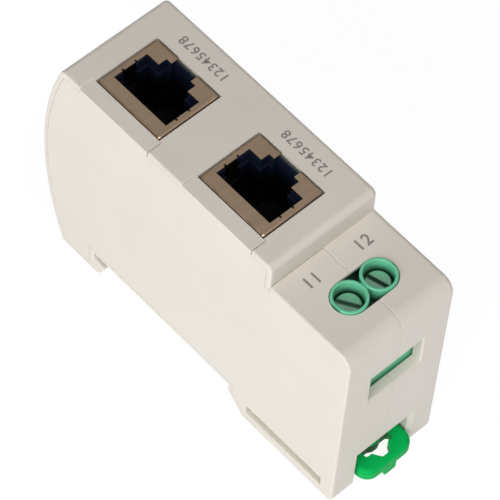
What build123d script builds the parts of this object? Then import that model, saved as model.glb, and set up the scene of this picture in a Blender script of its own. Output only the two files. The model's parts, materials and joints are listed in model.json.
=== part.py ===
from build123d import *
import math
import os

# Rail side. The origin is on the rail seat, over the rail's centre line, at half the width.
rail_gap = 36.0
slot_height = 1.4
hook_reach = 2.9
hook_tip_drop = 0.7
hook_lean = 1.5
hook_depth = 5.2
foot_depth = 6.0
foot_drop = 1.9

# Outline of the body, heights over the rail seat
step_margin = 5.6
step_drop = 5.5
end_margin = 5.4
end_radius = 68.0
end_centre_height = 21.5

# Moulding
wall = 2.0
rim = 1.1
seam = 0.06
seam_bevel = 0.25
corner_radius = 1.2
step_radius = 1.4
nose_radius = 3.0
heel_radius = 1.2
hook_radius = 0.9
slot_radius = 0.5
far_edge_radius = 0.9
near_edge_radius = 0.45
groove_depth = 1.1
groove_height = 2.2
groove_low = -3.35
groove_lead = 5.1
groove_stop = 2.95
mouth_flare = 0.7
window_flare = 0.3
tab_drop = 0.2

# Rail latch and its channel
latch_half = 6.0
latch_top = -1.35
latch_thickness = 2.4
slide_gap = 0.2
channel_wall = 1.6
latch_travel = 3.0
nose_reach = 2.0
nose_half = 4.0
nose_bevel = 1.3
loop_reach = 2.3
loop_radius = 2.6
loop_edge_radius = 0.9
loop_hole_back = 2.25
loop_hole_width = 1.5
loop_side = 2.7
loop_bump = 0.5
loop_bump_half = 1.5
loop_notch_depth = 1.7
loop_notch_half = 0.9
loop_notch_flare = 1.1
lip_half = 1.4
lip_radius = 0.5
lip_depth = 2.05
lip_thickness = 1.3
recess_roof = 3.8
recess_depth = 5.1
flange_width = 0.8
flange_lead = 4.2
flange_stop = 2.5
window_lead = 3.8
window_stop = 0.4
window_half = 1.7
spring_post_back = 2.8
spring_post_length = 1.8
spring_radius = 0.95
spring_wire = 0.36
spring_turns = 6

# Sockets
jack_first = -13.9
jack_pitch = 25.9
jack_side = 1.35
jack_far = 1.75
jack_depth = 18.6
jack_inset = 3.35
jack_proud = 0.05
jack_gap = 0.2
jack_clear = 5.05
sheet = 0.3
face_round = 0.45
face_corner = 0.5
window_near = 2.68
window_height = 7.57
socket_half = 6.65
step_one_half = 3.7
step_one_height = 1.8
step_two_half = 2.45
leaf_near = 2.2
leaf_width = 2.5
leaf_notch = 0.4
leaf_lean = 0.3
leaf_bend = 1.2
leaf_depth = 5.6
leg_depth = 12.0
leg_width = 1.4
tab_extra = 0.65
contact_count = 8
contact_pitch = 1.02
contact_width = 0.46
contact_thickness = 0.3
contact_slot = 0.68
contact_top = 3.3
contact_nose = 0.8
contact_reach = 4.25
contact_end = 10.8
plug_half = 6.0
plug_height = 6.9
plug_depth = 13.0
mouth_depth = 2.0
insulator_gap = 0.2
insulator_wall = 0.3
peg_radius = 1.2
peg_side = 2.3
peg_depth = 9.0
row_step = 2.54

# Boards and what they carry
board_thickness = 1.6
board_gap = 0.25
board_low = 2.6
board_clearance = 0.4
back_room = 3.4
wing_gap = 2.8
wing_stop = 0.6
post_radius = 2.0
boss_radius = 2.7
pin_radius = 1.25
pin_clearance = 0.05
post_drop = 2.4
post_rise = 3.3
post_side = 3.1
wing_post_lead = 0.4
lead_length = 1.2
lead_side = 0.7
lead_clearance = 0.3
header_lead = 4.4
header_pitch = 2.54
header_side = 0.64
header_gap = 1.2
header_drop = 1.4
chip_lead = 6.4
chip_pitch = 5.1
chip_count = 8
resistor_rise = 2.8
resistor_width = 3.2
resistor_height = 1.6
resistor_depth = 0.6
diode_rise = 2.0
diode_width = 3.6
diode_height = 4.6
diode_depth = 2.2
diode_foot = 0.6
tube_rise = 1.0
tube_radius = 4.0
tube_length = 8.0
tube_lead_reach = 1.2
tube_gap = 0.3
tube_lead = 3.7
tube_pitch = 11.8
tube_count = 4

# Terminal block
pole_pitch = 6.8
pole_room = 10.0
block_side = 0.55
block_back = 5.0
block_front = 7.25
block_gap = 0.35
block_bevel = 0.4
block_drop = 3.3
block_base = 4.25
barrel_radius = 3.35
barrel_proud = 0.4
barrel_gap = 0.15
barrel_round = 0.2
web_half = 0.8
web_drop = 0.3
hole_lip = 0.7
hole_relief = 1.0
screw_sunk = 2.4
screw_head_radius = 2.45
screw_head_height = 1.6
screw_head_bevel = 0.3
head_clearance = 0.3
screw_radius = 1.5
screw_slot = 0.9
screw_slot_depth = 0.9
screw_angles = (32.0, 16.0)
screw_neck = 1.05
screw_clearance = 0.1
thread_clearance = 0.05
thread_pitch = 0.5
clamp_turns = 7
clamp_half = 2.4
clamp_length = 4.4
clamp_side = 0.5
clamp_top = 1.4
clamp_rise = 0.6
clamp_floor = 1.0
clamp_gap = 0.15
bar_thickness = 1.0
bar_reach = 3.9
wire_opening = 4.0
tunnel_half = 2.2
tunnel_drop = 0.5
entry_side = 0.45
entry_rise = 7.6

# Sockets
jack_width = 2 * (socket_half + jack_side)
jack_height = window_near + window_height + step_one_height + jack_far
jack_centres = (jack_first, jack_first + jack_pitch)
jack_left = jack_centres[0] - jack_width / 2
jack_right = jack_centres[-1] + jack_width / 2
peg_spread = jack_width / 2 - peg_side

# Width from the sockets, the board behind them and its bosses
width = jack_inset + jack_height + board_gap + board_thickness + back_room + wall
near = -width / 2
far = width / 2
inner_far = far - wall
jack_near = near + jack_inset
board_near = jack_near + jack_height + board_gap
board_far = board_near + board_thickness
tail_end = board_far + lead_length

# Height from the rows on the board and the sockets over them
resistor_low = board_low + resistor_rise
diode_low = resistor_low + resistor_height + diode_rise
tube_height = diode_low + diode_height + tube_rise + tube_radius
jack_low = tube_height + tube_radius + jack_clear
jack_face = jack_low + jack_depth
top_height = jack_face - jack_proud
lower_height = top_height - step_drop

# Length from the sockets to the curved end and to the terminals
end_rise = top_height - end_centre_height
end_reach = end_margin - jack_left + end_radius - math.sqrt(end_radius**2 - end_rise**2)
step_x = jack_right + step_margin
pole_x = step_x + pole_room
block_start = pole_x - block_back
block_end = pole_x + block_front
end_x = block_end + block_gap + wall

# Rail side and latch
foot_x = rail_gap / 2
slot_x = -rail_gap / 2
groove_start = foot_x + groove_lead
groove_end = end_x - groove_stop
latch_low = latch_top - latch_thickness
channel_half = latch_half + slide_gap
channel_roof = latch_top + slide_gap
recess_x = end_x - recess_depth
flange_start = foot_x + flange_lead
flange_end = recess_x - flange_stop
window_start = flange_start + window_lead
window_end = flange_end - window_stop
spring_post_x = window_end - spring_post_back
loop_hole_start = end_x - loop_hole_back
loop_hole_end = loop_hole_start + loop_hole_width
loop_hole_half = latch_half - loop_side

# Terminals, from the lower face downwards
block_top = lower_height - block_drop
barrel_top = lower_height + barrel_proud
barrel_bore = screw_head_radius + head_clearance
screw_top = barrel_top - screw_sunk
screw_seat = screw_top - screw_head_height
clamp_travel = thread_pitch * clamp_turns
clamp_ceiling = screw_seat - screw_neck
clamp_roof = clamp_ceiling - clamp_gap - clamp_travel
bar_top = clamp_roof - clamp_top - clamp_rise
bar_height = bar_top - bar_thickness
clamp_low = bar_height - wire_opening - clamp_floor
terminal_floor = clamp_low - clamp_gap - block_base
block_half = pole_pitch / 2 + clamp_half + clamp_gap + block_side
entry_half = block_half - entry_side
entry_high = bar_height + 0.1
entry_low = entry_high - entry_rise
pole_ys = (-pole_pitch / 2, pole_pitch / 2)

# Boards
board_top = top_height - wall - insulator_gap
board_right = step_x - wall - board_clearance
board_rise = max(board_top - end_centre_height, end_centre_height - board_low)
end_inside = end_radius - end_reach - math.sqrt((end_radius - wall) ** 2 - board_rise**2)
board_left = end_inside + board_clearance + 0.1
wing_end = block_end - wing_stop
wing_high = terminal_floor - board_thickness
wing_low = recess_roof + channel_wall + wing_gap
wing_middle = (wing_low + wing_high) / 2
post_high = jack_low - post_drop
post_low = board_low + post_rise
post_left = board_left + post_side
post_points = (
    (post_left, post_high),
    (step_x - wall - boss_radius, post_high),
    (post_left, post_low),
    (block_start + wing_post_lead, wing_middle),
)
header_height = wing_high - header_drop
header_y = board_far + header_gap
header_half = header_side / 2
header_xs = [block_start + header_lead + header_pitch * i for i in range(3)]
tube_xs = [jack_left + tube_lead + tube_pitch * i for i in range(tube_count)]
chip_xs = [jack_left + chip_lead + chip_pitch * i for i in range(chip_count)]

# Socket insides, measured from the shield's low corner and its face
insulator_half = jack_width / 2 - sheet - insulator_gap
insulator_near = sheet + insulator_gap
insulator_far = jack_height - insulator_wall - insulator_gap
insulator_top = -sheet - 0.15
insulator_low = leg_width - jack_depth
plug_near = window_near + insulator_wall
plug_far = plug_near + plug_height
wire_y = insulator_near + contact_slot - insulator_gap
wire_low = insulator_low - 0.45


def block(x, y, z):
    size = Box(x[1] - x[0], y[1] - y[0], z[1] - z[0])
    return Pos((x[0] + x[1]) / 2, (y[0] + y[1]) / 2, (z[0] + z[1]) / 2) * size


def slab(face, y_low, y_high):
    """Solid of a face drawn in X and Z, from y_low to y_high."""
    return extrude(Plane.XZ.offset(-y_high) * face, y_high - y_low, dir=(0, -1, 0))


def rod_y(x, z, radius, y_low, y_high):
    return slab(Pos(x, z) * Circle(radius), y_low, y_high)


def rod_z(x, y, radius, z_low, z_high):
    return extrude(Pos(x, y, z_low) * Circle(radius), z_high - z_low)


def rounded(face, corners):
    """Rounds the corners of a face nearest to the given points."""
    for point, radius in corners:
        face = fillet(face.vertices().sort_by_distance(Vector(*point))[0], radius)
    return face


def end_wall_x(z, inset=0.0):
    radius = end_radius - inset
    return end_radius - end_reach - math.sqrt(radius**2 - (z - end_centre_height) ** 2)


def end_arc(z_low, z_high, inset=0.0):
    middle = (inset - end_reach, end_centre_height)
    low = (end_wall_x(z_low, inset), z_low)
    high = (end_wall_x(z_high, inset), z_high)
    return ThreePointArc(low, middle, high), low, high


def foot_points(inset):
    """The foot from the end face round to the rail seat."""
    bend = inset * math.tan(math.radians(22.5))
    toe_x = foot_x + foot_depth - foot_drop
    return [
        (end_x - inset, inset - foot_depth),
        (toe_x + bend, inset - foot_depth),
        (foot_x + inset, bend - foot_drop),
        (foot_x + inset, inset),
    ]


def body_face(inset):
    """The outline moved inwards, without the hook's tongue."""
    arc, low, high = end_arc(inset - hook_depth, top_height - inset, inset)
    line = Polyline(
        high,
        (step_x - inset, top_height - inset),
        (step_x - inset, lower_height - inset),
        (end_x - inset, lower_height - inset),
        *foot_points(inset),
        (slot_x - inset, inset),
        (slot_x - inset, inset - hook_depth),
        low,
    )
    return make_face([arc] + list(line.edges()))


def outer_face():
    """The outline with the hook's tongue and its rounded corners."""
    arc, low, high = end_arc(-hook_depth, top_height)
    tip_x = slot_x + hook_reach
    tongue = [
        (slot_x, 0),
        (slot_x, -slot_height),
        (tip_x, -slot_height - hook_tip_drop),
        (tip_x - hook_lean, -hook_depth),
    ]
    corners = [(step_x, top_height), (step_x, lower_height), (end_x, lower_height)]
    line = Polyline(high, *corners, *foot_points(0), *tongue, low)
    face = make_face([arc] + list(line.edges()))
    rounds = [
        (high, corner_radius),
        (corners[0], step_radius),
        (corners[2], nose_radius),
        ((end_x, -foot_depth), heel_radius),
        (tongue[1], slot_radius),
        (tongue[2], slot_radius),
        (tongue[3], hook_radius),
        (low, hook_radius),
    ]
    return rounded(face, rounds)


def outer_solid():
    body = slab(outer_face(), near, far)
    ends = body.faces().sort_by(Axis.Y)
    body = fillet(ends[-1].edges(), far_edge_radius)
    ends = body.faces().sort_by(Axis.Y)
    return fillet(ends[0].edges(), near_edge_radius)


def channel_walls():
    half = channel_half + channel_wall
    walls = block((foot_x, end_x), (-half, half), (-foot_depth, channel_roof + channel_wall))
    high = block((recess_x - channel_wall, end_x), (-half, half), (-foot_depth, recess_roof + channel_wall))
    return walls + high


def channel_space():
    run = (foot_x - 1, end_x + 1)
    side = (-channel_half, channel_half)
    space = block(run, side, (-foot_depth - 1, channel_roof))
    recess = (-foot_depth - 1, recess_roof)
    space += block((recess_x, run[1]), side, recess) + flared(side, recess, mouth_flare)
    half = channel_half + flange_width
    guide = (latch_low - slide_gap, channel_roof)
    space += block((flange_start - slide_gap, flange_end + latch_travel + slide_gap), (-half, half), guide)
    return space


def spring_post():
    run = (spring_post_x, spring_post_x + spring_post_length)
    half = window_half - 2 * slide_gap
    return block(run, (-half, half), (latch_low, channel_roof))


def side_grooves():
    run = (groove_start, groove_end)
    rise = (groove_low, groove_low + groove_height)
    low_side = block(run, (near - 1, near + groove_depth), rise)
    return low_side + block(run, (far - groove_depth, far + 1), rise)


def lower_face_hole():
    """Slot round both barrels, its wall relieved from inside to a thin lip."""
    tools = []
    for radius, z in (
        (barrel_radius + barrel_gap, (lower_height - wall - 1, lower_height + 1)),
        (barrel_radius + barrel_gap + hole_relief, (lower_height - wall - 1, lower_height - hole_lip)),
    ):
        face = Rot(0, 0, 90) * SlotOverall(pole_pitch + 2 * radius, 2 * radius)
        tools.append(extrude(Pos(pole_x, 0, z[0]) * face, z[1] - z[0]))
    return tools[0] + tools[1]


def flared(y, z, flare):
    """Tapered mouth at the end face, wider than its hole by the flare."""
    middle = ((y[0] + y[1]) / 2, (z[0] + z[1]) / 2)
    faces = []
    for x, grow in ((end_x - flare, 0), (end_x + flare, 4 * flare)):
        plane = Plane(origin=(x, *middle), x_dir=(0, 1, 0), z_dir=(1, 0, 0))
        faces.append(plane * Rectangle(y[1] - y[0] + grow, z[1] - z[0] + grow))
    return loft(faces)


def wire_window():
    side = (-entry_half, entry_half)
    rise = (entry_low, entry_high)
    return block((end_x - wall - 1, end_x + 1), side, rise) + flared(side, rise, window_flare)


def jack_windows():
    half = jack_width / 2 + jack_gap
    side = (near - 1, jack_near + jack_height + jack_gap)
    rise = (top_height - wall - 1, top_height + 1)
    return [block((x - half, x + half), side, rise) for x in jack_centres]


def cover_space(gap):
    """What the near half takes of the shell, drawn in by the seam's gap."""
    space = slab(body_face(rim + gap), near - 1, near + wall)
    space += block((step_x + gap, end_x + 1), (near - 1, -gap / 2), (-foot_depth - 1, lower_height + 1))
    half = jack_width / 2 + tab_extra - gap
    for x in jack_centres:
        depth = (near - 1, jack_near - seam - gap)
        space += block((x - half, x + half), depth, (top_height - wall, top_height + 1))
    return space


def shell():
    outer = outer_solid()
    body = outer - slab(body_face(wall), near + wall, far - wall)
    body += channel_walls() & outer
    body -= channel_space()
    body += spring_post()
    body -= side_grooves()
    body -= lower_face_hole()
    body -= wire_window()
    return body


def tab_ends(part):
    """Top edges of the notches where the near half's tabs end."""
    reach = jack_width / 2 + tab_extra
    ends = [x + side * reach for x in jack_centres for side in (-1, 1)]

    def on_notch(edge):
        centre = edge.center()
        if abs(centre.Z - top_height) > 0.001 or centre.Y > jack_near:
            return False
        return any(abs(centre.X - end) < 0.001 for end in ends)

    return part.edges().filter_by(Axis.Y).filter_by(on_notch)


def seam_line(part):
    """Edges of the seam along the middle of the lower shoulder and the end face."""

    def on_seam(edge):
        centre = edge.center()
        if edge.bounding_box().size.Y > 0.001 or abs(centre.Y) > 0.001 or centre.X < step_x:
            return False
        on_nose = centre.X > end_x - nose_radius and centre.Z > lower_height - nose_radius
        return centre.Z > lower_height - 0.001 or centre.X > end_x - 0.001 or on_nose

    return part.edges().filter_by(on_seam)


def board_ledge(y_low, y_high):
    return block((pole_x - 2, pole_x + 2), (y_low, y_high), (wing_high - 3, wing_high))


def housing_main(body):
    part = body - cover_space(0)
    part = chamfer(seam_line(part), seam_bevel)
    part = chamfer(tab_ends(part), tab_drop)
    for window in jack_windows():
        part -= window
    for x, z in post_points:
        part += rod_y(x, z, boss_radius, board_far, inner_far)
        part -= rod_y(x, z, pin_radius + pin_clearance, board_far - 1, inner_far - 0.4)
    return part + board_ledge(inner_far - 1.6, inner_far)


def housing_cover(body):
    part = body & cover_space(seam)
    part -= block((-end_reach, step_x), (near - 1, jack_near), (top_height - tab_drop, top_height + 1))
    for x, z in post_points:
        part += rod_y(x, z, post_radius, near + wall, board_near)
        part += rod_y(x, z, pin_radius, board_near, inner_far - 0.8)
    return part + board_ledge(near + wall, near + wall + 2.4)


def rail_latch():
    nose_x = foot_x - nose_reach
    tip_x = end_x + loop_reach
    plate = Polyline(
        (nose_x, -nose_half),
        (foot_x + 1, -nose_half),
        (foot_x + 1, -latch_half),
        (tip_x, -latch_half),
        (tip_x, latch_half),
        (foot_x + 1, latch_half),
        (foot_x + 1, nose_half),
        (nose_x, nose_half),
        close=True,
    )
    face = rounded(make_face(plate), [((tip_x, side * latch_half), loop_radius) for side in (-1, 1)])
    body = extrude(Pos(0, 0, latch_low) * face, latch_thickness)
    rim_edges = body.edges().filter_by(lambda e: e.center().X > end_x + 1)
    rim_edges = rim_edges.filter_by(lambda e: abs(e.center().Z - latch_top) < 0.01)
    body = fillet(rim_edges, loop_edge_radius)
    half = latch_half + flange_width - slide_gap
    body += block((flange_start, flange_end), (-half, half), (latch_low, latch_top))
    lip_run = (tip_x - lip_thickness, tip_x)
    lip = block(lip_run, (-lip_half, lip_half), (latch_low - lip_depth, latch_top - loop_edge_radius))
    lip_ends = lip.edges().filter_by(Axis.X).sort_by(Axis.Z)[:2]
    body += fillet(lip_ends, lip_radius)
    nose_edge = body.edges().filter_by(Axis.Y).sort_by(Axis.X)[:2].sort_by(Axis.Z)[0]
    body = chamfer(nose_edge, nose_bevel)
    body -= extrude(Pos(0, 0, latch_low - 1) * loop_hole(), latch_thickness + 2)
    window = (window_start, window_end)
    return body - block(window, (-window_half, window_half), (latch_low - 1, latch_top + 1))


def loop_hole():
    """Slot across the loop with a flared notch outwards and a round bump opposite it."""
    run = loop_hole_end - loop_hole_start
    hole = Pos(loop_hole_start + run / 2, 0) * RectangleRounded(run, 2 * loop_hole_half, run * 0.4)
    deep = loop_hole_end + loop_notch_depth
    flare = loop_notch_half + loop_notch_flare
    notch = Polyline(
        (loop_hole_start + run / 2, -flare),
        (loop_hole_end, -flare),
        (deep, -loop_notch_half),
        (deep, loop_notch_half),
        (loop_hole_end, flare),
        (loop_hole_start + run / 2, flare),
        close=True,
    )
    corners = [((deep, side * loop_notch_half), loop_notch_half / 2) for side in (-1, 1)]
    hole += rounded(make_face(notch), corners)
    crown = (loop_hole_start + loop_bump, 0)
    low = (loop_hole_start - 0.01, -loop_bump_half)
    high = (loop_hole_start - 0.01, loop_bump_half)
    bump = make_face([ThreePointArc(low, crown, high), Line(high, low)])
    return hole - bump


def latch_spring():
    """Compression spring along X between the latch's window and the fixed post."""
    start = window_start + spring_wire / 2 + 0.05
    length = spring_post_x - window_start - spring_wire - 0.1
    helix = Helix(length / spring_turns, length, spring_radius)
    end_plane = Plane(origin=helix @ 0, z_dir=helix % 0)
    coil = sweep(end_plane * RegularPolygon(spring_wire / 2, 6), path=helix)
    centre = (latch_low + latch_top) / 2
    return Pos(start, 0, centre) * Rot(0, 90, 0) * coil


def jack_place(x):
    return Pos(x, jack_near, jack_face)


def contact_leaf(side):
    """Sprung leaf folded down from the window's edge."""
    edge = socket_half + sheet / 2
    line = Polyline(
        (edge, -sheet / 2),
        (edge - leaf_lean, -leaf_bend),
        (edge - leaf_lean, sheet - leaf_depth),
        (edge - leaf_lean / 2, -leaf_depth),
    )
    low = window_near + leaf_near
    leaf = slab(trace(line, sheet), low + leaf_notch / 2, low + leaf_width)
    return leaf if side > 0 else leaf.mirror(Plane.YZ)


def socket_window():
    """Stepped opening of the shield, as a solid through the face."""
    high = window_near + window_height
    rise = (-1, 1)
    window = block((-socket_half, socket_half), (window_near, high), rise)
    window += block((-step_one_half, step_one_half), (high - 1, high + step_one_height), rise)
    window += block((-step_two_half, step_two_half), (high, jack_height + 1), rise)
    for start in (leaf_near - leaf_notch / 2, leaf_near + leaf_width + leaf_notch / 2):
        depth = (window_near + start, window_near + start + leaf_notch)
        half = socket_half + leaf_notch
        window += block((-half, half), depth, rise)
    return window


def jack_shield():
    half = jack_width / 2
    outer = block((-half, half), (0, jack_height), (-jack_depth, 0))
    inner = block((sheet - half, half - sheet), (sheet, jack_height + 1), (-jack_depth - 1, -sheet))
    outer = fillet(outer.edges().filter_by(Axis.Z), face_corner)
    outer = fillet(outer.edges().filter_by(Axis.X).sort_by(Axis.Z)[-2:].sort_by(Axis.Y)[0], face_round)
    inner_edge = inner.edges().filter_by(Axis.X).sort_by(Axis.Z)[-2:].sort_by(Axis.Y)[0]
    inner = fillet(inner_edge, face_round - sheet)
    body = outer - inner
    floor = block((sheet - half, half - sheet), (sheet, jack_height), (-jack_depth, sheet - jack_depth))
    body += floor
    body -= socket_window()
    board_side = tail_end - jack_near - 0.4
    for side in (-1, 1):
        wall_run = sorted((side * (half - sheet), side * half))
        body += block(wall_run, (jack_height - 1, board_side), (-leg_depth - leg_width, -leg_depth))
        body += contact_leaf(side)
    return body


def contact_xs():
    return [(i - (contact_count - 1) / 2) * contact_pitch for i in range(contact_count)]


def jack_insulator():
    """Moulded insert: keyed mouth, plug guide, latch groove and a comb of contact slots."""
    half = insulator_half
    body = block((-half, half), (insulator_near, insulator_far), (insulator_low, insulator_top))
    mouth = (insulator_top - mouth_depth, 1)
    guide = (insulator_top - plug_depth, 1)
    mouth_half = socket_half - insulator_gap
    mouth_far = window_near + window_height
    body -= block((-mouth_half, mouth_half), (window_near, mouth_far), mouth)
    body -= block((-plug_half, plug_half), (plug_near, plug_far), guide)
    body -= block((-step_one_half, step_one_half), (plug_far - 1, mouth_far + step_one_height), mouth)
    key_half = step_one_half - 2 * insulator_gap
    body -= block((-key_half, key_half), (plug_far - 1, plug_far + step_one_height), guide)
    body -= block((-step_two_half, step_two_half), (plug_far, insulator_far - insulator_wall), guide)
    leaf_low = window_near + leaf_near - insulator_gap
    leaf_high = window_near + leaf_near + leaf_width + insulator_gap
    for side in (-1, 1):
        pocket = sorted((side * (plug_half - 0.5), side * (socket_half + 2 * sheet)))
        body -= block(pocket, (leaf_low, leaf_high), (-leaf_depth - sheet, 1))
        peg_end = board_far - jack_near - 0.2
        body += rod_y(side * peg_spread, -peg_depth, peg_radius, insulator_far - 0.5, peg_end)
    for x in contact_xs():
        slot = (x - contact_slot / 2, x + contact_slot / 2)
        high = contact_nose + contact_thickness - contact_top
        body -= block(slot, (0, wire_y + contact_thickness), (insulator_low - 1, high))
        body -= block(slot, (0, plug_near + insulator_gap), (-contact_end - 1, high))
    return body


def jack_contacts():
    """Formed wires, their solder tails in two rows."""
    wires = []
    tail = tail_end - jack_near
    spring_run = [
        (wire_y, wire_low),
        (wire_y, -contact_top),
        (wire_y + contact_nose * 0.7, contact_nose - contact_top),
        (wire_y + contact_nose * 1.7, contact_nose / 2 - contact_top),
        (wire_y + contact_reach, -contact_end),
    ]
    for i, x in enumerate(contact_xs()):
        if i % 2:
            start = [(tail, wire_low)]
        else:
            jog = insulator_far + contact_thickness
            start = [(tail, wire_low + row_step), (jog, wire_low + row_step), (jog, wire_low)]
        face = trace(Polyline(*start, *spring_run), contact_thickness)
        wires.append(extrude(Plane.YZ.offset(x - contact_width / 2) * face, contact_width))
    return wires


def peg_points():
    places = [(x, side * peg_spread) for x in jack_centres for side in (-1, 1)]
    return [(x + spread, jack_face - peg_depth) for x, spread in places]


def square_holes():
    """Places of the leads through the main board and the sides of their holes."""
    lead = lead_side + lead_clearance
    holes = [(x, header_height, header_side + lead_clearance) for x in header_xs]
    for x in tube_xs:
        reach = tube_length / 2 + tube_lead_reach
        holes += [(x + side * reach, tube_height, lead) for side in (-1, 1)]
    for centre in jack_centres:
        for i, x in enumerate(contact_xs()):
            row = 0 if i % 2 else row_step
            holes.append((centre + x, jack_face + wire_low + row, contact_width + lead_clearance))
    return holes


def main_board():
    outline = Polyline(
        (board_left, board_low),
        (board_right, board_low),
        (board_right, wing_low),
        (wing_end, wing_low),
        (wing_end, wing_high),
        (board_right, wing_high),
        (board_right, board_top),
        (board_left, board_top),
        close=True,
    )
    face = make_face(outline)
    for x, z in post_points:
        face -= Pos(x, z) * Circle(pin_radius + lead_clearance)
    for x, z in peg_points():
        face -= Pos(x, z) * Circle(peg_radius + pin_clearance)
    for x, z, side in square_holes():
        face -= Pos(x, z) * Rectangle(side, side)
    for centre in jack_centres:
        for side in (-1, 1):
            x = centre + side * (jack_width - sheet) / 2
            z = jack_face - leg_depth - leg_width / 2
            face -= Pos(x, z) * Rectangle(sheet + lead_clearance, leg_width + lead_clearance)
    return slab(face, board_near, board_far)


def terminal_board():
    run = (block_start - 1, block_end)
    body = block(run, (-block_half - 1.2, inner_far - 0.5), (wing_high, terminal_floor))
    hole = (wing_high - 1, terminal_floor + 1)
    for y in pole_ys:
        body -= block((block_start + 0.8, block_start + 2.2), (y - 0.7, y + 0.7), hole)
    half = (header_side + lead_clearance) / 2
    for x in header_xs:
        body -= block((x - half, x + half), (header_y - half, header_y + half), hole)
    return body


def board_pins():
    pins = []
    for x in header_xs:
        side = (x - header_half, x + header_half)
        upright = (header_y - header_half, header_y + header_half)
        foot = (header_height - header_half, header_height + header_half)
        pin = block(side, upright, (foot[0], terminal_floor + lead_length))
        pins.append(pin + block(side, (board_near - lead_length, upright[1]), foot))
    return pins


def gas_tube(x):
    """Sealed tube with a bent strip lead at each end."""
    centre_y = board_near - tube_gap - tube_radius
    half = tube_length / 2
    end = tail_end - centre_y
    body = Rot(0, 90, 0) * Cylinder(tube_radius, tube_length)
    strip = (-lead_side / 2, lead_side / 2)
    for side in (-1, 1):
        reach = half + tube_lead_reach
        out = sorted((side * (half - lead_side), side * (reach + lead_side / 2)))
        leg = sorted((side * (reach - lead_side / 2), side * (reach + lead_side / 2)))
        body += block(out, strip, strip) + block(leg, (strip[0], end), strip)
    return Pos(x, centre_y, tube_height) * body


def clamp_diodes():
    """Moulded diode packages with a foot at each end."""
    chips = []
    foot_half = diode_width / 4
    high = diode_low + diode_height - diode_foot
    for x in chip_xs:
        side = (x - diode_width / 2, x + diode_width / 2)
        depth = (board_near - diode_depth, board_near - 0.1)
        body = block(side, depth, (diode_low + diode_foot, high))
        body = chamfer(body.faces().sort_by(Axis.Y)[0].edges(), diode_foot / 2)
        for z in (diode_low, high):
            foot = (x - foot_half, x + foot_half)
            body += block(foot, (board_near - diode_foot, board_near), (z, z + diode_foot))
        chips.append(body)
    return chips


def resistors():
    half = resistor_width / 2
    rise = (resistor_low, resistor_low + resistor_height)
    return [block((x - half, x + half), (board_near - resistor_depth, board_near), rise) for x in chip_xs]


def clamp_cavity(y):
    """Room for one rising clamp, its screw, its bar and the wire's tunnel."""
    half = clamp_half + clamp_gap
    reach = clamp_length / 2 + clamp_gap
    rise = (clamp_low - clamp_gap, clamp_ceiling)
    space = block((pole_x - reach, pole_x + reach), (y - half, y + half), rise)
    tunnel = (bar_height - wire_opening - tunnel_drop, bar_height - 0.1)
    space += block((pole_x, block_end + 1), (y - tunnel_half, y + tunnel_half), tunnel)
    bar_half = clamp_half - clamp_side - clamp_gap
    bar_run = (block_start + 1.0, pole_x + bar_reach + 0.1)
    space += block(bar_run, (y - bar_half, y + bar_half), (bar_height, bar_top))
    space += block((block_start + 1.0, block_start + 2.0), (y - 0.6, y + 0.6), (terminal_floor - 1, bar_top))
    space += rod_z(pole_x, y, screw_radius + screw_clearance, clamp_ceiling - 1, screw_seat + 1)
    return space + rod_z(pole_x, y, barrel_bore, screw_seat - 0.05, barrel_top + 1)


def barrel(y):
    """Screw barrel with a rounded rim."""
    tube = rod_z(pole_x, y, barrel_radius, block_top - 1, barrel_top)
    tube -= rod_z(pole_x, y, barrel_bore, screw_seat, barrel_top + 1)
    return fillet(tube.edges().filter_by(GeomType.CIRCLE).group_by(Axis.Z)[-1], barrel_round)


def terminal_body():
    side = (-block_half, block_half)
    body = block((block_start, block_end), side, (terminal_floor, block_top))
    body = chamfer(body.faces().sort_by(Axis.Z)[-1].edges(), block_bevel)
    for y in pole_ys:
        body += barrel(y)
    web_rise = (block_top - 1, barrel_top - web_drop)
    body += block((pole_x - web_half, pole_x + web_half), (-1, 1), web_rise)
    body &= block((block_start - 1, block_end + 1), side, (terminal_floor - 1, barrel_top + 1))
    for y in pole_ys:
        body -= clamp_cavity(y)
    return body


def terminal_screw(y, angle):
    """Slotted screw whose tip bears on the fixed bar."""
    body = rod_z(pole_x, y, screw_head_radius, screw_seat, screw_top)
    body = chamfer(body.edges().sort_by(Axis.Z)[-1], screw_head_bevel)
    body += rod_z(pole_x, y, screw_radius, bar_top + 0.05, screw_seat)
    cut = Pos(pole_x, y, screw_top) * Rot(0, 0, angle) * Box(10, screw_slot, 2 * screw_slot_depth)
    return body - cut


def terminal_clamp(y):
    """Rising cage: threaded roof, two sides and a floor that lifts the wire to the bar."""
    run = (pole_x - clamp_length / 2, pole_x + clamp_length / 2)
    body = block(run, (y - clamp_half, y + clamp_half), (clamp_low, clamp_roof))
    inner = clamp_half - clamp_side
    opening = (clamp_low + clamp_floor, clamp_roof - clamp_top)
    body -= block((run[0] - 1, run[1] + 1), (y - inner, y + inner), opening)
    return body - rod_z(pole_x, y, screw_radius + thread_clearance, opening[1] - 1, clamp_roof + 1)


def terminal_bars():
    bars = []
    for y in pole_ys:
        half = clamp_half - clamp_side - clamp_gap - 0.05
        run = (block_start + 1.05, pole_x + bar_reach)
        bar = block(run, (y - half, y + half), (bar_height + 0.05, bar_top))
        leg = (block_start + 1.05, block_start + 1.95)
        bars.append(bar + block(leg, (y - 0.5, y + 0.5), (wing_high - lead_length, bar_top)))
    return bars


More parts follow.
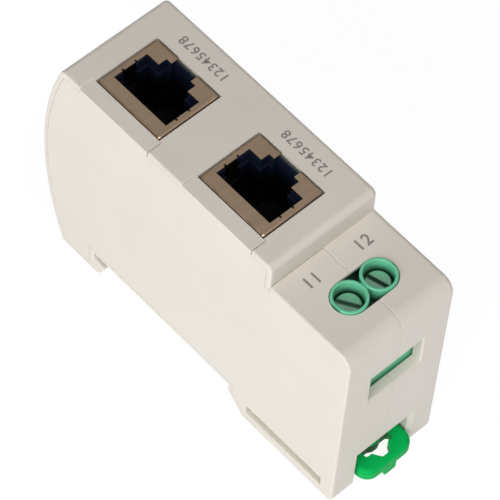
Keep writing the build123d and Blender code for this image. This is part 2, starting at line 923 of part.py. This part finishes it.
def all_parts():
    body = shell()
    parts = {
        "housing_main": housing_main(body),
        "housing_cover": housing_cover(body),
        "rail_latch": rail_latch(),
        "latch_spring": latch_spring(),
        "main_board": main_board(),
        "terminal_board": terminal_board(),
        "board_pins": board_pins(),
        "clamp_diodes": clamp_diodes(),
        "resistors": resistors(),
        "terminal_body": terminal_body(),
        "terminal_bars": terminal_bars(),
    }
    for i, x in enumerate(jack_centres, start=1):
        parts[f"jack_{i}_shield"] = jack_place(x) * jack_shield()
        parts[f"jack_{i}_insulator"] = jack_place(x) * jack_insulator()
        parts[f"jack_{i}_contacts"] = [jack_place(x) * wire for wire in jack_contacts()]
    for i, x in enumerate(tube_xs, start=1):
        parts[f"gas_tube_{i}"] = gas_tube(x)
    for i, y in enumerate(pole_ys, start=1):
        parts[f"terminal_screw_{i}"] = terminal_screw(y, screw_angles[i - 1])
        parts[f"terminal_clamp_{i}"] = terminal_clamp(y)
    return parts


os.makedirs("parts", exist_ok=True)
for name, shape in all_parts().items():
    solid = Compound(children=shape) if isinstance(shape, list) else shape
    export_step(solid, f"parts/{name}.step")
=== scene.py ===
import bpy
import json
import math
from mathutils import Matrix, Vector


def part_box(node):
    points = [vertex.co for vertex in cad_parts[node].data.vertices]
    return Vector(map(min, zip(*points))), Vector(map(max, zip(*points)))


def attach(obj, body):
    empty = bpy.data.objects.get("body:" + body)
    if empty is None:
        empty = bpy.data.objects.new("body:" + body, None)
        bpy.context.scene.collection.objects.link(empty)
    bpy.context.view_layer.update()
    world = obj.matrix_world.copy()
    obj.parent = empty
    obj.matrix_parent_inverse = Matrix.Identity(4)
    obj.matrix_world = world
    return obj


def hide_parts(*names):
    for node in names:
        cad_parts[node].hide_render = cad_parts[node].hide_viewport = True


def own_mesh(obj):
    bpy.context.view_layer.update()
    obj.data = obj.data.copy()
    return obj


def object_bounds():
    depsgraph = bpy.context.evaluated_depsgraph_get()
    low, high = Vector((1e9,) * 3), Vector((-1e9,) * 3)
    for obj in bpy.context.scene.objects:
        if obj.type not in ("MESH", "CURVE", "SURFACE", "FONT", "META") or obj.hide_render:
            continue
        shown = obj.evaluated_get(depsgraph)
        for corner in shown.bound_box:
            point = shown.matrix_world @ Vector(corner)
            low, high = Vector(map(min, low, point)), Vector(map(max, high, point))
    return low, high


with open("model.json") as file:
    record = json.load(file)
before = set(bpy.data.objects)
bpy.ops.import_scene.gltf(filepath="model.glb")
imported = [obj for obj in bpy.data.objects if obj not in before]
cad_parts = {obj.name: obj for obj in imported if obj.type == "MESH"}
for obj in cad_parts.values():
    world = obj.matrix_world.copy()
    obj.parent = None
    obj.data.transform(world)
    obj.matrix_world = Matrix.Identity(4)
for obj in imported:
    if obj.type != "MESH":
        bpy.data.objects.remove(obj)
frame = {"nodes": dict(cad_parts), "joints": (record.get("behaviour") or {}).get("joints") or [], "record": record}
cad_box = [list(corner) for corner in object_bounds()]
nodes = frame["nodes"]
scene = bpy.context.scene


# Materials

class Graph:
    """A node material built around one Principled shader."""

    def __init__(self, name):
        self.material = bpy.data.materials.new(name)
        self.material.use_nodes = True
        self.tree = self.material.node_tree
        self.shader = self.tree.nodes["Principled BSDF"]
        coordinates = self.tree.nodes.new("ShaderNodeTexCoord")
        self.place = coordinates.outputs["Object"]

    def node(self, kind, inputs=None, **settings):
        made = self.tree.nodes.new("ShaderNode" + kind)
        for key, value in settings.items():
            setattr(made, key, value)
        for key, value in (inputs or {}).items():
            if isinstance(value, bpy.types.NodeSocket):
                self.tree.links.new(value, made.inputs[key])
            else:
                made.inputs[key].default_value = value
        return made

    def noise(self, scale, detail=2.0, roughness=0.5, stretch=None):
        vector = self.place
        if stretch:
            mapping = self.node("Mapping", {"Vector": self.place, "Scale": stretch})
            vector = mapping.outputs["Vector"]
        inputs = {"Vector": vector, "Scale": scale, "Detail": detail, "Roughness": roughness}
        return self.node("TexNoise", inputs).outputs["Fac"]

    def ranged(self, value, low, high, start, end):
        """Turns start to end into low to high, and holds beyond them."""
        inputs = {"Value": value, "From Min": start, "From Max": end, "To Min": low, "To Max": high}
        return self.node("MapRange", inputs).outputs["Result"]

    def blend(self, factor, first, second):
        mix = self.node("Mix", data_type="RGBA")
        self.tree.links.new(factor, mix.inputs["Factor"])
        mix.inputs[6].default_value = (*first, 1.0)
        mix.inputs[7].default_value = (*second, 1.0)
        return mix.outputs[2]

    def painted_shade(self, colour, floor, low, high, least, end_x=None, half_width=None):
        """Painted shade in a recess: the colour darkens where light would not reach down into it.

        From high to low the colour darkens to its least share, and below floor it is whole again.
        Where a place along X and a half width are given, the shade ends past both.
        """
        # Painted shade: a height band, optionally limited along X and across Y, multiplies the colour darker.
        under, side = 0.0003, 0.0006
        place = self.node("SeparateXYZ", {"Vector": self.place}).outputs
        band = self.ranged(place["Z"], least, 1.0, low, high)
        ends = [self.ranged(place["Z"], 1.0, least, floor - under, floor)]
        if end_x is not None:
            aside = self.node("Math", {0: place["Y"]}, operation="ABSOLUTE").outputs["Value"]
            ends.append(self.ranged(place["X"], least, 1.0, end_x, end_x + side))
            ends.append(self.ranged(aside, least, 1.0, half_width, half_width + side))
        for end in ends:
            band = self.node("Math", {0: band, 1: end}, operation="MAXIMUM").outputs["Value"]
        mix = self.node("Mix", data_type="RGBA", blend_type="MULTIPLY")
        mix.inputs["Factor"].default_value = 1.0
        self.tree.links.new(colour, mix.inputs[6])
        self.tree.links.new(band, mix.inputs[7])
        return mix.outputs[2]

    def bump(self, heights):
        """Chains (height, strength, distance) bumps from coarse to fine."""
        normal = None
        for height, strength, distance in heights:
            inputs = {"Height": height, "Strength": strength, "Distance": distance}
            if normal is not None:
                inputs["Normal"] = normal
            normal = self.node("Bump", inputs).outputs["Normal"]
        self.link(normal, "Normal")

    def link(self, output, name):
        self.tree.links.new(output, self.shader.inputs[name])

    def set(self, **values):
        for name, value in values.items():
            self.shader.inputs[name.replace("_", " ")].default_value = value


def moulded(name, light, dark, rough, grain, relief=0.00001, depth=0.0, gloss=0.5, shade=None):
    """Moulded plastic with a spark-eroded grain, soft flow marks and a little translucence."""
    graph = Graph(name)
    mottle = graph.ranged(graph.noise(55.0, 4.0, 0.6), 0.0, 1.0, 0.3, 0.7)
    colour = graph.blend(mottle, dark, light)
    # Where a shade is given, painted shade darkens the colour down into recesses.
    graph.link(graph.painted_shade(colour, **shade) if shade else colour, "Base Color")
    fine = graph.noise(grain, 3.0, 0.65)
    graph.link(graph.ranged(fine, rough - 0.07, rough + 0.07, 0.3, 0.7), "Roughness")
    graph.bump([(graph.noise(grain * 0.08), 0.12, relief), (fine, 0.35, relief)])
    graph.set(IOR=1.49)
    graph.shader.inputs["Specular IOR Level"].default_value = gloss
    if depth:
        graph.set(Subsurface_Weight=depth, Subsurface_Scale=0.002, Subsurface_Radius=(1.0, 0.8, 0.6))
    return graph.material


def plated(name, light, dark, rough, relief, streak=None, shade=None):
    """Plated metal with the fine drawn lines of the sheet or wire under it."""
    graph = Graph(name)
    tone = graph.ranged(graph.noise(90.0, 3.0, 0.6), 0.0, 1.0, 0.35, 0.65)
    colour = graph.blend(tone, dark, light)
    # Where a shade is given, painted shade darkens the colour down into recesses.
    graph.link(graph.painted_shade(colour, **shade) if shade else colour, "Base Color")
    lines = graph.noise(900.0, 3.0, 0.7, streak)
    graph.link(graph.ranged(lines, rough - 0.08, rough + 0.08, 0.3, 0.7), "Roughness")
    graph.bump([(lines, 0.25, relief), (graph.noise(5000.0), 0.15, relief)])
    graph.set(Metallic=1.0)
    return graph.material


def laminate(name):
    """Solder mask over a woven glass board."""
    graph = Graph(name)
    threads = {"Vector": graph.place, "Scale": 900.0, "Distortion": 0.6}
    weave = [graph.node("TexWave", threads, bands_direction=way).outputs["Fac"] for way in "XZ"]
    tone = graph.ranged(graph.noise(120.0, 4.0, 0.6), 0.0, 1.0, 0.35, 0.65)
    graph.link(graph.blend(tone, (0.008, 0.085, 0.030), (0.015, 0.130, 0.050)), "Base Color")
    graph.bump([(thread, 0.1, 0.00001) for thread in weave])
    graph.set(Roughness=0.32, IOR=1.5)
    return graph.material


def printed_ink(name):
    """Pad-printed ink that covers the grain unevenly."""
    graph = Graph(name)
    cover = graph.ranged(graph.noise(2600.0, 3.0, 0.7), 0.0, 1.0, 0.25, 0.6)
    graph.link(graph.blend(cover, (0.36, 0.345, 0.32), (0.21, 0.205, 0.20)), "Base Color")
    graph.bump([(graph.noise(6000.0), 0.2, 0.00001)])
    graph.set(Roughness=0.6)
    return graph.material


looks = {
    "housing": moulded(
        "housing", (0.700, 0.662, 0.600), (0.675, 0.636, 0.572), rough=0.50, grain=3200.0,
        relief=0.000018, depth=0.06,
    ),
    "latch": moulded(
        "latch", (0.0, 0.44, 0.092), (0.0, 0.400, 0.080), rough=0.5, grain=2600.0,
        depth=0.05, gloss=0.08,
        # Painted shadow: the loop hole's wall beside the housing darkens downward, as if in the housing's shadow.
        shade={
            "floor": -0.0045, "low": -0.0018, "high": -0.00138, "least": 0.26,
            "end_x": 0.0438, "half_width": 0.0030,
        },
    ),
    "terminal": moulded(
        "terminal", (0.155, 0.600, 0.360), (0.130, 0.540, 0.320), rough=0.42, grain=2800.0,
        depth=0.06,
        # Painted shade: the barrels darken down into the gaps between them and down their bores toward the screws.
        shade={"floor": 0.0372, "low": 0.0382, "high": 0.0400, "least": 0.10},
    ),
    "socket": moulded(
        "socket", (0.0055, 0.0105, 0.028), (0.0040, 0.0080, 0.021), rough=0.5, grain=3200.0,
        gloss=0.2,
        # Painted shade: the socket's walls darken with depth below the opening.
        shade={"floor": 0.0200, "low": 0.0400, "high": 0.0455, "least": 0.06},
    ),
    "chip": moulded("chip", (0.020, 0.020, 0.021), (0.013, 0.013, 0.014), rough=0.55, grain=3600.0),
    "tube": moulded("tube", (0.78, 0.75, 0.70), (0.72, 0.69, 0.64), rough=0.35, grain=3000.0),
    "shield": plated(
        "shield", (0.86, 0.64, 0.45), (0.82, 0.60, 0.415), rough=0.34, relief=0.000003,
        streak=(1.0, 0.06, 1.0),
        # Painted shade: the shield darkens below its top face, so its folded edges and the leaves inside the
        # socket read as in shade.
        shade={"floor": 0.0300, "low": 0.0459, "high": 0.04623, "least": 0.12},
    ),
    "spring_steel": plated(
        "spring_steel", (0.55, 0.55, 0.56), (0.45, 0.45, 0.46), rough=0.3, relief=0.000006,
    ),
    "screw": plated(
        "screw", (0.50, 0.84, 0.66), (0.40, 0.72, 0.56), rough=0.40, relief=0.00001,
        # Painted shade: the head darkens down into its slot.
        shade={"floor": 0.0377, "low": 0.0383, "high": 0.0386, "least": 0.3},
    ),
    "contact": plated(
        "contact", (0.80, 0.56, 0.22), (0.70, 0.47, 0.17), rough=0.28, relief=0.000004,
    ),
    "bar": plated("bar", (0.62, 0.60, 0.55), (0.52, 0.50, 0.45), rough=0.34, relief=0.000006),
    "board": laminate("board"),
    "ink": printed_ink("ink"),
}

for part in frame["record"]["subparts"]:
    slots = nodes[part["node"]].data.materials
    slots.clear()
    slots.append(looks[part["material_slot"]])


# Print on the housing

# A digit's height as a share of the font's size, and the lift of the ink above its face
digit_share = 0.7
film = 0.00001


def digits(name, text, height, weight, spacing, centre, reading, up):
    """Plain numbers as a thin film of ink, lying flat on the face they are printed on."""
    curve = bpy.data.curves.new(name, "FONT")
    curve.body = text
    curve.size = height / digit_share
    curve.space_character = spacing
    curve.align_x = "CENTER"
    curve.align_y = "CENTER"
    curve.resolution_u = 4
    curve.extrude = 0.8 * film
    curve.offset = weight
    piece = bpy.data.objects.new(name, curve)
    scene.collection.objects.link(piece)
    along = Vector(reading)
    rise = Vector(up)
    turn = Matrix((along, rise, along.cross(rise))).transposed().to_4x4()
    piece.matrix_world = Matrix.Translation(Vector(centre)) @ turn
    curve.materials.append(looks["ink"])
    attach(piece, "housing")


def socket_print():
    """The eight ways of each socket, read from the far side."""
    aside, beyond = 0.0004, 0.0006
    top_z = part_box("housing_main")[1].z
    for side in "12":
        low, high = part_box(f"jack_{side}_shield")
        centre = ((low.x + high.x) / 2 + aside, high.y + beyond, top_z + film)
        digits(
            "print_socket_" + side, "12345678", height=0.0018, weight=0.00004, spacing=1.16,
            centre=centre, reading=(-1, 0, 0), up=(0, -1, 0),
        )


def terminal_print():
    """A number behind each screw barrel, read from the latch's end.

    The barrels stand proud of the lower face, and the numbers are spread wider than the barrels.
    """
    behind, proud, spread = 0.0014, 0.0004, 1.72
    block_low, block_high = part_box("terminal_body")
    for number, clamp in (("11", "terminal_clamp_1"), ("12", "terminal_clamp_2")):
        low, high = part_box(clamp)
        y = spread * (low.y + high.y) / 2
        digits(
            "print_terminal_" + number, number, height=0.0023, weight=0.00005, spacing=1.1,
            centre=(block_low.x - behind, y, block_high.z - proud + film),
            reading=(0, 1, 0), up=(-1, 0, 0),
        )


socket_print()
terminal_print()


# Return spring of the latch

def coil_points(start, end, height, radius, wire, open_turns, steps=24):
    """Points of a coil along X whose first and last turns are closed."""
    turns = open_turns + 2
    pitch = (end - start - 3 * wire) / open_turns
    points = []
    for step in range(turns * steps + 1):
        turn = step / steps
        closed = min(turn, 1.0) + max(turn - turns + 1, 0.0)
        angle = math.tau * turn
        x = start + wire / 2 + closed * wire + (turn - closed) * pitch
        points.append((x, radius * math.cos(angle), height + radius * math.sin(angle), 1.0))
    return points


def return_spring():
    """Round wire coil from its start to the latch's fixed post, built at rest."""
    slide = next(joint for joint in frame["joints"] if joint["name"] == "latch_slide")
    post = slide["deforming_nodes"][0]["fixed_end_x_m"]
    start, height, clear = 0.02605, -0.00255, 0.00005
    wire, radius = 0.00036, 0.00095
    curve = bpy.data.curves.new("return_spring", "CURVE")
    curve.dimensions = "3D"
    curve.bevel_depth = wire / 2
    curve.bevel_resolution = 2
    curve.use_fill_caps = True
    points = coil_points(start, post - clear, height, radius, wire, open_turns=6)
    spline = curve.splines.new("POLY")
    spline.points.add(len(points) - 1)
    for point, place in zip(spline.points, points):
        point.co = place
    wound = bpy.data.objects.new("wound", curve)
    mesh = bpy.data.meshes.new_from_object(wound)
    bpy.data.objects.remove(wound)
    mesh.shade_smooth()
    mesh.materials.clear()
    mesh.materials.append(looks["spring_steel"])
    piece = bpy.data.objects.new("return_spring", mesh)
    scene.collection.objects.link(piece)
    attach(piece, "housing")
    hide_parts("latch_spring")
    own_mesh(piece)


return_spring()


# Stage, light and camera

def sheet_floor():
    half, gap = 3.0, 0.0001
    low = cad_box[0][2] - gap
    corners = [(-half, -half, low), (half, -half, low), (half, half, low), (-half, half, low)]
    mesh = bpy.data.meshes.new("floor")
    mesh.from_pydata(corners, [], [(0, 1, 2, 3)])
    floor = bpy.data.objects.new("floor", mesh)
    scene.collection.objects.link(floor)
    graph = Graph("floor")
    graph.set(Base_Color=(0.12, 0.12, 0.12, 1.0), Roughness=0.9)
    graph.set(Emission_Color=(1.0, 1.0, 1.0, 1.0), Emission_Strength=0.91)
    mesh.materials.append(graph.material)


def softbox(name, place, size, power, tint):
    """A square lamp that faces the middle of the object."""
    middle = Vector((0.006, 0.0, 0.02))
    light = bpy.data.lights.new(name, "AREA")
    light.shape = "SQUARE"
    light.size = size
    light.energy = power
    light.color = tint
    lamp = bpy.data.objects.new(name, light)
    lamp.location = place
    aim = middle - Vector(place)
    lamp.rotation_euler = aim.to_track_quat("-Z", "Y").to_euler()
    scene.collection.objects.link(lamp)


def studio():
    world = bpy.data.worlds.new("studio")
    world.use_nodes = True
    background = world.node_tree.nodes["Background"]
    background.inputs["Color"].default_value = (1.0, 0.99, 0.97, 1.0)
    background.inputs["Strength"].default_value = 0.12
    scene.world = world
    softbox("key", (0.19, -0.585, 0.30), size=0.45, power=3.08, tint=(1.0, 0.998, 0.998))
    softbox("fill", (0.534, -0.20, 1.27), size=0.80, power=9.2, tint=(1.0, 0.955, 0.945))
    softbox("card", (-0.255, 0.28, 0.60), size=0.50, power=0.11, tint=(1.0, 1.0, 1.0))


def photo_camera():
    data = bpy.data.cameras.new("photo")
    data.sensor_width = 36.0
    data.lens = 244.70
    data.clip_start = 0.01
    data.clip_end = 20.0
    camera = bpy.data.objects.new("photo", data)
    place = Vector((0.229469, -0.236411, 0.515232))
    ahead = Vector((-0.37315, 0.40010, -0.83706)).normalized()
    up = Vector((-0.63722, 0.54523, 0.54468))
    up = (up - ahead * up.dot(ahead)).normalized()
    right = ahead.cross(up)
    axes = Matrix((right, up, -ahead)).transposed().to_4x4()
    camera.matrix_world = Matrix.Translation(place) @ axes
    scene.collection.objects.link(camera)
    scene.camera = camera


sheet_floor()
studio()
photo_camera()
scene.view_settings.view_transform = "Standard"

bpy.context.view_layer.update()
